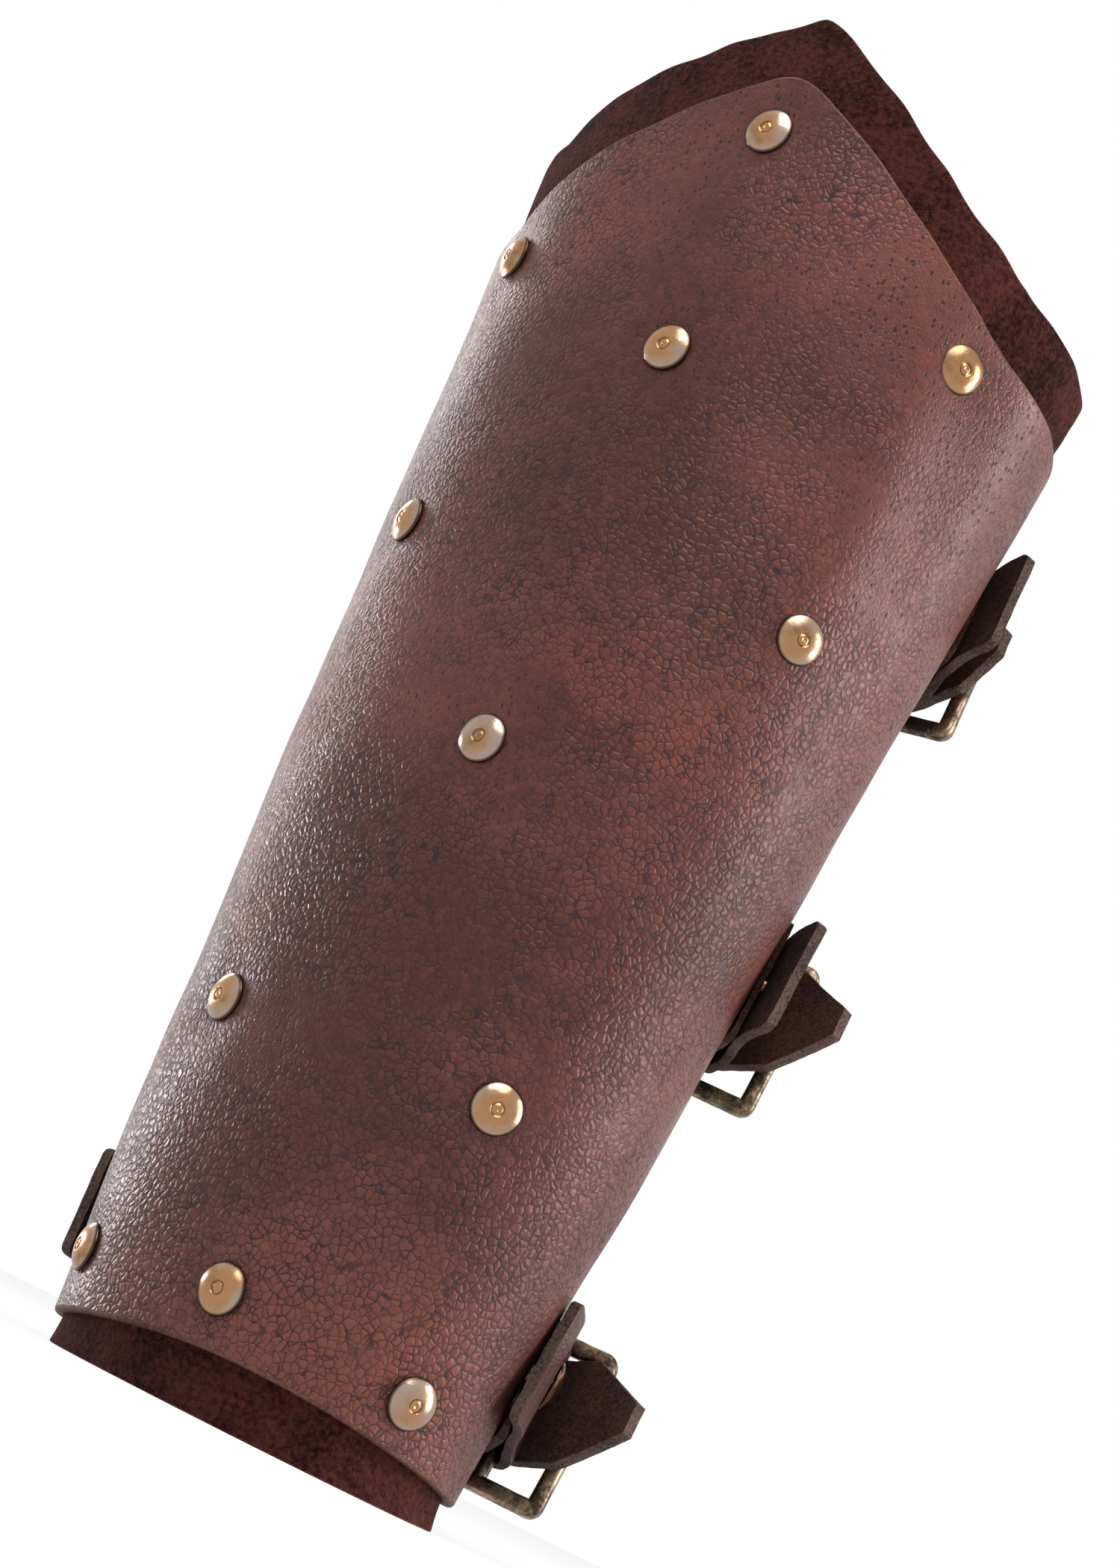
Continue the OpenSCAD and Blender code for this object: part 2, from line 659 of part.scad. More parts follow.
strap_rivet(ELBOW);  // elbow_strap_rivet
chape_rivet(ELBOW);  // elbow_chape_rivet
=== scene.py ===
import math

import bmesh
import bpy
from mathutils import Matrix, Vector, noise


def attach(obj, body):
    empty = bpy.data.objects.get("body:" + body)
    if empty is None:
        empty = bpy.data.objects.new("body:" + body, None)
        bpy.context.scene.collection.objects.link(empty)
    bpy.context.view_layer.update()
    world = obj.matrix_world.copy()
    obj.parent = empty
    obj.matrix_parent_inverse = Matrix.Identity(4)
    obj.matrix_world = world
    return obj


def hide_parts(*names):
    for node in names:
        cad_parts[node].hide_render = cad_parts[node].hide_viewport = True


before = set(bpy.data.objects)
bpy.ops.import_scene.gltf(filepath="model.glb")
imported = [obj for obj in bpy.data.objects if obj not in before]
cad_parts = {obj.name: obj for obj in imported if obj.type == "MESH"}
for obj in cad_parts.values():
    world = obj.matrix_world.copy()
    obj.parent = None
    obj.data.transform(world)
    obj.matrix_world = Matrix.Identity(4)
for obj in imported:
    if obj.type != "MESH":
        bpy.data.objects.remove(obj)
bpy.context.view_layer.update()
mm = 0.001
scene = bpy.context.scene

# Camera: close to the bracer, a little over the floor, rolled to the photographed slant
cameraPlace = Vector((0.1768, -0.4463, 0.008))
cameraAhead = Vector((-0.3555, 0.9021, 0.2448)).normalized()
cameraRoll = math.radians(26.39)
cameraSide = cameraAhead.cross(Vector((0, 0, 1))).normalized()
cameraTop = cameraSide.cross(cameraAhead)
rolledSide = math.cos(cameraRoll) * cameraSide + math.sin(cameraRoll) * cameraTop
rolledTop = -math.sin(cameraRoll) * cameraSide + math.cos(cameraRoll) * cameraTop
lens = bpy.data.cameras.new("camera")
lens.sensor_fit = "VERTICAL"
lens.sensor_height = 36
lens.lens = 61.714
lens.clip_start = 0.01
camera = bpy.data.objects.new("camera", lens)
camera.matrix_world = Matrix((
    (rolledSide.x, rolledTop.x, -cameraAhead.x, cameraPlace.x),
    (rolledSide.y, rolledTop.y, -cameraAhead.y, cameraPlace.y),
    (rolledSide.z, rolledTop.z, -cameraAhead.z, cameraPlace.z),
    (0, 0, 0, 1)))
scene.collection.objects.link(camera)
scene.camera = camera
scene.view_settings.view_transform = "Standard"


# Small helpers for node trees, pieces and sections
def addNode(tree, kind, inputs=None, **settings):
    made = tree.nodes.new(kind)
    for key, value in settings.items():
        setattr(made, key, value)
    for key, value in (inputs or {}).items():
        if isinstance(value, bpy.types.NodeSocket):
            tree.links.new(value, made.inputs[key])
        else:
            made.inputs[key].default_value = value
    return made


def math2(tree, operation, a, b, clamp=False):
    return addNode(tree, "ShaderNodeMath", {0: a, 1: b}, operation=operation, use_clamp=clamp).outputs[0]


def ramp(tree, value, low, high, toLow=0.0, toHigh=1.0):
    return addNode(tree, "ShaderNodeMapRange",
                   {"Value": value, "From Min": low, "From Max": high, "To Min": toLow, "To Max": toHigh},
                   interpolation_type="SMOOTHSTEP").outputs[0]


def mixColor(tree, share, a, b):
    made = tree.nodes.new("ShaderNodeMix")
    made.data_type = "RGBA"
    for socket, value in zip((made.inputs[0], made.inputs[6], made.inputs[7]), (share, a, b)):
        if isinstance(value, bpy.types.NodeSocket):
            tree.links.new(value, socket)
        else:
            socket.default_value = value
    return made.outputs[2]


def rgb(r, g, b):
    def linear(v):
        v = v / 255
        return v / 12.92 if v <= 0.04045 else ((v + 0.055) / 1.055) ** 2.4
    return (linear(r), linear(g), linear(b), 1)


def material(name, **values):
    made = bpy.data.materials.new(name)
    made.use_nodes = True
    tree = made.node_tree
    shader = tree.nodes["Principled BSDF"]
    for key, value in values.items():
        shader.inputs[key.replace("_", " ")].default_value = value
    return made, tree, shader


def objectPoint(tree):
    return addNode(tree, "ShaderNodeTexCoord").outputs["Object"]


def noiseTexture(tree, point, scale, detail=3.0, roughness=0.5):
    inputs = {"Vector": point, "Scale": scale, "Detail": detail, "Roughness": roughness}
    return addNode(tree, "ShaderNodeTexNoise", inputs).outputs["Fac"]


def giveBump(tree, shader, height, depth, strength=1.0):
    bump = addNode(tree, "ShaderNodeBump", {"Height": height, "Distance": depth, "Strength": strength})
    tree.links.new(bump.outputs["Normal"], shader.inputs["Normal"])


def addPiece(name, mesh, body, mats, smooth=True):
    made = bpy.data.objects.new(name, mesh)
    scene.collection.objects.link(made)
    for mat in mats:
        mesh.materials.append(mat)
    if smooth:
        mesh.polygons.foreach_set("use_smooth", [True] * len(mesh.polygons))
        mesh.set_sharp_from_angle(angle=math.radians(38))
    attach(made, body)
    return made


def meshFrom(name, verts, faces, materialOf=None):
    mesh = bpy.data.meshes.new(name)
    mesh.from_pydata([v * mm for v in verts], [], faces)
    if materialOf:
        mesh.polygons.foreach_set("material_index", materialOf)
    mesh.update()
    return mesh


def faceOut(mesh):
    tool = bmesh.new()
    tool.from_mesh(mesh)
    bmesh.ops.recalc_face_normals(tool, faces=tool.faces)
    tool.to_mesh(mesh)
    tool.free()
    return mesh


# Materials: texture scales are counts per metre, and depths are in metres.
# Grain of a hide: coarse cells between dark creases low on the piece, finer cells and pores higher up
hideGrain = bpy.data.node_groups.new("hideGrain", "ShaderNodeTree")
for socketName, socketKind, direction in (
        ("Point", "NodeSocketVector", "INPUT"), ("Cells", "NodeSocketFloat", "INPUT"),
        ("Crease", "NodeSocketFloat", "OUTPUT"), ("Height", "NodeSocketFloat", "OUTPUT"),
        ("Tint", "NodeSocketFloat", "OUTPUT")):
    hideGrain.interface.new_socket(socketName, in_out=direction, socket_type=socketKind)
grainIn = hideGrain.nodes.new("NodeGroupInput")
grainOut = hideGrain.nodes.new("NodeGroupOutput")
grainPoint, grainCells = grainIn.outputs["Point"], grainIn.outputs["Cells"]
warp = addNode(hideGrain, "ShaderNodeTexNoise", {"Vector": grainPoint, "Scale": 520.0, "Detail": 2.0})
warp = addNode(hideGrain, "ShaderNodeVectorMath", {0: warp.outputs["Color"], 1: (0.5, 0.5, 0.5)},
               operation="SUBTRACT")
warp = addNode(hideGrain, "ShaderNodeVectorMath", {0: warp.outputs[0], "Scale": 0.0009}, operation="SCALE")
warp = addNode(hideGrain, "ShaderNodeVectorMath", {0: grainPoint, 1: warp.outputs[0]}, operation="ADD")


def cellTexture(point, cells, feature):
    return addNode(hideGrain, "ShaderNodeTexVoronoi", {"Vector": point, "Scale": cells, "Randomness": 1.0},
                   feature=feature)


fineCells = math2(hideGrain, "MULTIPLY", grainCells, 1.9)
coarse = cellTexture(warp.outputs[0], grainCells, "DISTANCE_TO_EDGE").outputs["Distance"]
small = cellTexture(warp.outputs[0], fineCells, "DISTANCE_TO_EDGE").outputs["Distance"]
cell = cellTexture(warp.outputs[0], grainCells, "F1")
level = addNode(hideGrain, "ShaderNodeSeparateXYZ", {0: grainPoint}).outputs["Z"]
region = ramp(hideGrain, math2(hideGrain, "SUBTRACT", noiseTexture(hideGrain, grainPoint, 21.0, 3.0),
                               math2(hideGrain, "MULTIPLY", level, 0.8)), 0.2, 0.44)
deep = ramp(hideGrain, noiseTexture(hideGrain, grainPoint, 190.0, 3.0), 0.36, 0.62, 0.7, 1.0)
width = ramp(hideGrain, noiseTexture(hideGrain, grainPoint, 520.0, 2.0), 0.3, 0.7, 0.06, 0.17)


def creaseLine(gap, share):
    line = addNode(hideGrain, "ShaderNodeMapRange",
                   {"Value": gap, "From Min": 0.0, "From Max": width, "To Min": 1.0, "To Max": 0.0},
                   interpolation_type="SMOOTHSTEP").outputs[0]
    return math2(hideGrain, "MULTIPLY", line, share)


coarseShare = math2(hideGrain, "MULTIPLY", ramp(hideGrain, region, 0.0, 1.0, 0.2, 1.0), deep)
smallShare = math2(hideGrain, "MULTIPLY", ramp(hideGrain, region, 0.0, 1.0, 0.5, 0.25), deep)
crease = math2(hideGrain, "MAXIMUM", creaseLine(coarse, coarseShare), creaseLine(small, smallShare))
poreWarp = addNode(hideGrain, "ShaderNodeVectorMath", {0: warp.outputs[0], 1: (1.0, 1.0, 0.62)},
                   operation="MULTIPLY")
dots = cellTexture(poreWarp.outputs[0], 860.0, "F1")
poreShare = ramp(hideGrain, region, 0.0, 1.0, 1.0, 0.4)
pore = ramp(hideGrain, dots.outputs["Distance"], 0.14, 0.34, 1.0, 0.0)
pore = math2(hideGrain, "MULTIPLY", pore, poreShare)
dark = math2(hideGrain, "MAXIMUM", crease, pore)
coarseDome = math2(hideGrain, "MULTIPLY", ramp(hideGrain, coarse, 0.0, 0.3), coarseShare)
smallDome = math2(hideGrain, "MULTIPLY", ramp(hideGrain, small, 0.0, 0.3),
                  math2(hideGrain, "MULTIPLY", smallShare, 0.6))
dome = math2(hideGrain, "ADD", coarseDome, smallDome)
fine = noiseTexture(hideGrain, grainPoint, 2400.0, 2.0)
pitted = math2(hideGrain, "SUBTRACT", dome, math2(hideGrain, "MULTIPLY", pore, 0.5))
grainHeight = math2(hideGrain, "ADD", pitted, math2(hideGrain, "MULTIPLY", fine, 0.3))
hideGrain.links.new(dark, grainOut.inputs["Crease"])
hideGrain.links.new(grainHeight, grainOut.inputs["Height"])
hideGrain.links.new(addNode(hideGrain, "ShaderNodeSeparateColor", {0: cell.outputs["Color"]}).outputs[0],
                    grainOut.inputs["Tint"])


def hideMaterial(name, colors, cells, depth, gloss, **values):
    made, tree, shader = material(name, **values)
    point = objectPoint(tree)
    grain = tree.nodes.new("ShaderNodeGroup")
    grain.node_tree = hideGrain
    tree.links.new(point, grain.inputs["Point"])
    grain.inputs["Cells"].default_value = cells
    broad = noiseTexture(tree, point, 15.0, 4.0, 0.55)
    tint = math2(tree, "ADD", math2(tree, "MULTIPLY", grain.outputs["Tint"], 0.3),
                 ramp(tree, broad, 0.38, 0.64, 0.0, 0.75), True)
    color = mixColor(tree, tint, colors["dark"], colors["light"])
    rubbed = ramp(tree, noiseTexture(tree, point, 24.0, 5.0, 0.62), 0.52, 0.68)
    color = mixColor(tree, math2(tree, "MULTIPLY", rubbed, 0.6), color, colors["rubbed"])
    color = mixColor(tree, math2(tree, "MULTIPLY", grain.outputs["Crease"], 0.95), color, colors["crease"])
    tree.links.new(color, shader.inputs["Base Color"])
    giveBump(tree, shader, grain.outputs["Height"], depth)
    rough = math2(tree, "ADD", math2(tree, "MULTIPLY", grain.outputs["Crease"], 0.25),
                  ramp(tree, noiseTexture(tree, point, 45.0, 4.0), 0.3, 0.7, gloss - 0.05, gloss + 0.07))
    tree.links.new(rough, shader.inputs["Roughness"])
    return made


def nappedMaterial(name, dark, light, fibre, depth, **values):
    made, tree, shader = material(name, **values)
    point = objectPoint(tree)
    nap = noiseTexture(tree, point, fibre, 4.0, 0.7)
    cloud = noiseTexture(tree, point, 70.0, 4.0, 0.6)
    share = math2(tree, "ADD", math2(tree, "MULTIPLY", nap, 0.75), math2(tree, "MULTIPLY", cloud, 0.5))
    tree.links.new(mixColor(tree, ramp(tree, share, 0.45, 0.82), dark, light), shader.inputs["Base Color"])
    giveBump(tree, shader, nap, depth)
    return made


shellHide = hideMaterial(
    "shellHide", dict(dark=rgb(72, 38, 31), light=rgb(112, 66, 55), rubbed=rgb(122, 66, 52),
                      crease=rgb(34, 26, 32)), 700.0, 0.00012, 0.34,
    Specular_IOR_Level=0.24, Specular_Tint=(1.0, 0.86, 0.92, 1.0))
strapHide = hideMaterial(
    "strapHide", dict(dark=rgb(62, 30, 25), light=rgb(88, 46, 38), rubbed=rgb(104, 56, 44),
                      crease=rgb(36, 20, 18)), 1100.0, 0.0001, 0.4,
    Specular_IOR_Level=0.24)
strapFlesh = nappedMaterial("strapFlesh", rgb(24, 11, 8), rgb(84, 54, 44), 1300.0, 0.0007,
                            Roughness=0.95, Specular_IOR_Level=0.1, Sheen_Weight=0.03)
strapEdge = nappedMaterial("strapEdge", rgb(44, 32, 29), rgb(104, 84, 76), 1900.0, 0.0003,
                           Roughness=0.85, Specular_IOR_Level=0.15)
suede = nappedMaterial("suede", rgb(26, 7, 6), rgb(88, 44, 37), 1000.0, 0.001,
                       Roughness=0.95, Specular_IOR_Level=0.06, Sheen_Weight=0.03, Sheen_Roughness=0.5)
suedeEdge = nappedMaterial("suedeEdge", rgb(52, 24, 20), rgb(116, 76, 66), 1700.0, 0.0005,
                           Roughness=0.95, Specular_IOR_Level=0.06)
shellEdge = nappedMaterial("shellEdge", rgb(58, 36, 31), rgb(116, 78, 66), 1400.0, 0.0002,
                           Roughness=0.6, Specular_IOR_Level=0.2)


def brassMaterial(name, dull, bright, lowRough, highRough, tarnish, scale):
    made, tree, shader = material(name, Metallic=1.0)
    point = objectPoint(tree)
    patches = noiseTexture(tree, point, scale, 5.0, 0.65)
    spots = noiseTexture(tree, point, scale * 6, 4.0, 0.7)
    worn = math2(tree, "ADD", patches, math2(tree, "MULTIPLY", spots, 0.45))
    share = ramp(tree, worn, tarnish, tarnish + 0.3)
    tree.links.new(mixColor(tree, share, dull, bright), shader.inputs["Base Color"])
    tree.links.new(math2(tree, "SUBTRACT", highRough, math2(tree, "MULTIPLY", share, highRough - lowRough)),
                   shader.inputs["Roughness"])
    giveBump(tree, shader, math2(tree, "ADD", spots, patches), 0.00012, 0.6)
    return made, tree, shader


buckleBrass = brassMaterial("buckleBrass", rgb(62, 54, 44), rgb(164, 142, 116), 0.32, 0.5, 0.6, 190.0)[0]

# Studs: worn to bare metal towards the rim on some, with a dark ring at the centre and a dark rim that is
# painted shade along the cap's foot
studBrass, tree, shader = brassMaterial("studBrass", rgb(108, 82, 62), rgb(168, 126, 88),
                                        0.2, 0.36, 0.46, 80.0)
rim = addNode(tree, "ShaderNodeAttribute", attribute_name="rim").outputs["Fac"]
lot = addNode(tree, "ShaderNodeAttribute", attribute_name="lot").outputs["Fac"]
brassColor = shader.inputs["Base Color"].links[0].from_socket
bare = math2(tree, "ADD", math2(tree, "MULTIPLY", rim, 0.7),
             math2(tree, "MULTIPLY", noiseTexture(tree, objectPoint(tree), 230.0, 4.0), 1.3))
bare = math2(tree, "ADD", bare, math2(tree, "MULTIPLY", lot, 0.55))
silver = mixColor(tree, ramp(tree, bare, 1.25, 1.8), brassColor, rgb(164, 144, 130))
ringGap = math2(tree, "ABSOLUTE", math2(tree, "SUBTRACT", rim, 0.25), 0.0)
silver = mixColor(tree, ramp(tree, ringGap, 0.0, 0.05, 0.6, 0.0), silver, rgb(72, 50, 34))
# The darkened rim is painted shade where the cap's edge meets the leather
tree.links.new(mixColor(tree, ramp(tree, rim, 0.88, 0.97, 0.0, 0.92), silver, rgb(52, 38, 28)),
               shader.inputs["Base Color"])
print("materials made")

# The shell's surface: angles run from the centre line of the back, positive towards the buckles
wristR, taper, flatten, flattenTurn, undersideShift = 37.0, 0.08, 0.125, -20.0, 0.05
shellT, liningT, layerGap = 2.4, 1.2, 0.15
shellTurn, liningSpare = 120.0, 4.0
liningTurn = shellTurn + liningSpare / wristR * 180 / math.pi
tipZ, tipFall, rearFall, shoulderU, shoulderRound = 254.0, 0.65, 0.1, 54.0, 8.0
shellTipRound, liningTipRound, farBow, nearBow, cornerR = 4.0, 1.0, 3.0, -1.5, 8.0
hemHigh, hemFall, hemCentre, hemReach = 10.4, 6, 10, 70
liningShow, liningLean = 14, 0.15
shoulderZ = tipZ - tipFall * shoulderU


def sind(a):
    return math.sin(math.radians(a))


def cosd(a):
    return math.cos(math.radians(a))


def ringR(z):
    return wristR + taper * z


def swell(a):
    return 1 - flatten * cosd(2 * (a - flattenTurn)) - undersideShift * cosd(a)


def facePt(a, z, lift=0.0):
    r = ringR(z) * swell(a) + lift
    return Vector((r * sind(a), -r * cosd(a), z))


def levelFace(a):
    s = swell(a)
    d = 2 * flatten * sind(2 * (a - flattenTurn)) + undersideShift * sind(a)
    return Vector((d * sind(a) + s * cosd(a), s * sind(a) - d * cosd(a), 0))


def upFace(a):
    s = swell(a)
    return Vector((taper * s * sind(a), -taper * s * cosd(a), 1)).normalized()


def outFace(a):
    return levelFace(a).cross(upFace(a)).normalized()


def roundFace(a):
    return upFace(a).cross(outFace(a))


def angleOf(arc):
    a = arc
    for _ in range(8):
        share = flatten / 2 * (sind(2 * (a - flattenTurn)) + sind(2 * flattenTurn))
        a = arc + math.degrees(share + undersideShift * sind(a))
    return a


def arcLen(arc, z):
    return ringR(z) * math.radians(arc)


def turnOf(u, z):
    return angleOf(math.degrees(u / ringR(z)))


def softStep(x, r):
    return (x + math.hypot(x, r)) / 2


def straightSlant(u, r):
    return (tipZ - tipFall * (math.hypot(u, r) - r)
            + (tipFall - rearFall) * softStep(abs(u) - shoulderU, shoulderRound))


def slant(u, r):
    return straightSlant(u, r) + (farBow if u < 0 else nearBow) * sind(180 * min(abs(u) / shoulderU, 1) ** 2)


def cornerDrop(arc, z, limit):
    d = max(0.0, arcLen(limit - abs(arc), z))
    return cornerR - math.sqrt(cornerR ** 2 - (cornerR - d) ** 2) if d < cornerR else 0.0


def shellTop(arc):
    return slant(arcLen(arc, shoulderZ), shellTipRound) - cornerDrop(arc, shoulderZ, shellTurn)


def shellBottom(arc):
    x = min(1.0, abs(arcLen(arc, 0) - hemCentre) / hemReach)
    return hemHigh - hemFall * sind(90 * x) ** 2 + cornerDrop(arc, 0, shellTurn)


def liningTop(arc):
    u = arcLen(arc, shoulderZ)
    return (slant(u, liningTipRound) + liningShow + liningLean * max(0.0, -u)
            - cornerDrop(arc, shoulderZ, liningTurn))


# Places of the studs, and of the closures' rivets, which all pull the leather in a little
studs = [(0.0, z) for z in (20.0, 121.0, 198.0, tipZ - 11.4)]
for side in (-1, 1):
    shoulderStudZ = straightSlant(49.5, shellTipRound) - 10
    for u, z in ((37.0, 17.0), (29.0, 65.0), (43.0, 159.0), (49.5, shoulderStudZ)):
        studs.append((turnOf(side * u, z), z))
heelDrop = 6.0
closures = {
    "wrist": dict(z=31.0, turn=101.0, strapTurn=-108.0, frameTurn=72.0, swivel=15.0, rise=2.0, tail=13.0,
                  tabLift=-2.4),
    "middle": dict(z=111.0, turn=105.0, strapTurn=-112.0, frameTurn=72.0, swivel=12.0, rise=1.0, tail=12.0,
                   tabLift=1.2),
    "elbow": dict(z=193.5, turn=110.0, strapTurn=-112.0, frameTurn=56.0, swivel=17.0, rise=1.2, tail=7.0,
                  tabLift=1.4)}

# Each pull: place, depth and reach
pulls = [(facePt(a, z), 0.7, 6.5) for a, z in studs]
for c in closures.values():
    pulls.append((facePt(c["turn"], c["z"]), 0.2, 11.0))
    pulls.append((facePt(c["strapTurn"], c["z"] - heelDrop), 0.2, 9.0))


# Slow waves of the leather, in mm: ridges and hollows, and fine creases under the tip
def bulge(u, z, amount, atU, wideU, atZ, wideZ):
    return amount * math.exp(-((u - atU) / wideU) ** 2 - ((z - atZ) / wideZ) ** 2)


def leatherLift(p, arc, z):
    lift = 0.0
    for centre, depth, reach in pulls:
        gap = (p - centre).length_squared
        if gap < 9 * reach * reach:
            lift -= depth * math.exp(-gap / (reach * reach))
    u = arcLen(arc, z)
    lift += bulge(u, z, 1.0, 42, 7, 185, 45) + bulge(u, z, -1.0, 57, 8, 185, 45)
    lift += bulge(u, z, 1.6, 74, 18, 216, 16) + bulge(u, z, -0.8, -78, 24, 190, 48)
    lift += bulge(u, z, -1.0, -58, 18, 4, 18) + bulge(u, z, 0.5, 20, 9, 150, 30)
    lift += 0.5 * noise.noise(p * 0.022) + 0.25 * noise.noise(p * 0.07)
    crinkle = math.exp(-((z - 235) / 16) ** 2 - (u / 30) ** 2)
    lift += 0.22 * crinkle * noise.noise(Vector((math.atan2(u, z - 262) * 7, (z - 262) * 0.03, 3)))
    return lift


# A sheet wrapped on that surface: material 0 on its faces and 1 on its cut edges
def wrappedSheet(name, arcs, rows, bottom, top, base, thick, edgeRound, share, waver, flare=None):
    verts = []
    for arc in arcs:
        a = angleOf(arc)
        low = bottom(arc)
        high = top(arc) + waver * noise.noise(Vector((arc * 0.09, 5, 0)))
        outline = []
        for side, depth in ((0, 0.0), (1, thick)):
            for k in range(rows + 1):
                x = k / rows
                x = 0.5 - 0.5 * math.cos(math.pi * x) if share == 1 else x
                z = low + edgeRound + (high - low - 2 * edgeRound) * x
                p = facePt(a, z)
                lift = base - depth + leatherLift(p, arc, z) * (1 if share == 1 else 0.6)
                lift += flare(arc, z) if flare else 0.0
                outline.append((z, lift))
            if side == 0:
                outline += [(high - edgeRound * 0.3, outline[-1][1] - edgeRound * 0.3),
                            (high, outline[-1][1] - edgeRound)]
        outer, inner = outline[:rows + 3], outline[rows + 3:][::-1]
        inner = ([(high, inner[0][1] + edgeRound), (high - edgeRound * 0.3, inner[0][1] + edgeRound * 0.3)]
                 + inner + [(low + edgeRound * 0.3, inner[-1][1] + edgeRound * 0.3),
                            (low, inner[-1][1] + edgeRound)])
        closing = [(low, outer[0][1] - edgeRound), (low + edgeRound * 0.3, outer[0][1] - edgeRound * 0.3)]
        for z, lift in outer + inner + closing:
            verts.append(facePt(a, z, lift))
    ringLen = len(outer + inner + closing)
    faces, kinds = [], []
    for i in range(len(arcs) - 1):
        for k in range(ringLen):
            m = (k + 1) % ringLen
            faces.append((i * ringLen + k, (i + 1) * ringLen + k, (i + 1) * ringLen + m, i * ringLen + m))
            flat = k < rows or rows + 5 <= k < 2 * rows + 5
            kinds.append(0 if flat else 1)
    for start, asIs in ((0, True), ((len(arcs) - 1) * ringLen, False)):
        loop = [start + k for k in range(ringLen)]
        half = ringLen // 2
        for k in range(half - 1):
            quad = (loop[k], loop[k + 1], loop[ringLen - 2 - k], loop[ringLen - 1 - k])
            if len(set(quad)) == 4:
                faces.append(quad if asIs else quad[::-1])
                kinds.append(1)
    return faceOut(meshFrom(name, verts, faces, kinds))


def spreadArcs(limit, count):
    return [limit * (2 * i / count - 1) for i in range(count + 1)]


shellMesh = wrappedSheet("shell", spreadArcs(shellTurn, 190), 170, shellBottom, shellTop,
                         0.0, shellT, 0.6, 1, 0.5)
shell = addPiece("shell", shellMesh, "bracer", [shellHide, shellEdge])
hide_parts("outer_shell")
print("shell made")


def liningFlare(arc, z):
    past = min(1.0, max(0.0, (z - shellTop(arc) + 2) / 14))
    low = min(1.0, max(0.0, 1 - z / 9))
    ripple = 0.5 * noise.noise(Vector((arc * 0.12, 9, 0)))
    high = 3.2 * math.exp(-((arc - 78) / 26) ** 2) + ripple
    base = 2.6 * math.exp(-((arc - 72) / 34) ** 2) + 1.4 * math.exp(-((arc + 92) / 26) ** 2) + ripple
    return past * past * (3 - 2 * past) * high + low * low * base


liningMesh = wrappedSheet("lining", spreadArcs(liningTurn, 200), 150, lambda arc: 0.0, liningTop,
                          -shellT - layerGap, liningT, 0.25, 0.6, 1.2, liningFlare)
lining = addPiece("lining", liningMesh, "bracer", [suede, suedeEdge])
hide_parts("suede_lining")
print("lining made")


# Studs: one turned cap, repeated over the shell
def turned(name, profile, steps=56):
    verts = [Vector((r * math.cos(math.tau * k / steps), r * math.sin(math.tau * k / steps), z))
             for r, z in profile[:-1] for k in range(steps)]
    verts.append(Vector((0, 0, profile[-1][1])))
    faces = []
    for i in range(len(profile) - 2):
        for k in range(steps):
            m = (k + 1) % steps
            faces.append((i * steps + k, i * steps + m, (i + 1) * steps + m, (i + 1) * steps + k))
    last = (len(profile) - 2) * steps
    faces += [(last + k, last + (k + 1) % steps, len(verts) - 1) for k in range(steps)]
    faces.append(tuple(range(steps - 1, -1, -1)))
    return meshFrom(name, verts, faces)


capR = 4.5
capProfile = [(1.0, -2.2), (1.05, 0.0), (4.0, 0.0), (4.3, 0.02), (4.47, 0.16), (capR, 0.36), (4.4, 0.56),
              (4.2, 0.7), (3.95, 0.88), (3.5, 1.18), (3.0, 1.42), (2.4, 1.63), (1.9, 1.74), (1.5, 1.82),
              (1.3, 1.82), (1.15, 1.7), (1.02, 1.64), (0.88, 1.7), (0.7, 1.86), (0.5, 1.9), (0.3, 1.8),
              (0.15, 1.72), (0.0, 1.7)]
capMesh = turned("cap", capProfile)
capMesh.materials.append(studBrass)
rimValues = capMesh.attributes.new("rim", "FLOAT", "POINT")
for vertex in capMesh.vertices:
    rimValues.data[vertex.index].value = math.hypot(vertex.co.x, vertex.co.y) / (capR * mm)
capMesh.polygons.foreach_set("use_smooth", [True] * len(capMesh.polygons))


def seatMatrix(a, z, lift):
    side, up, out = roundFace(a), upFace(a), outFace(a)
    p = (facePt(a, z) + out * lift) * mm
    return Matrix(((side.x, up.x, out.x, p.x), (side.y, up.y, out.y, p.y), (side.z, up.z, out.z, p.z),
                   (0, 0, 0, 1)))


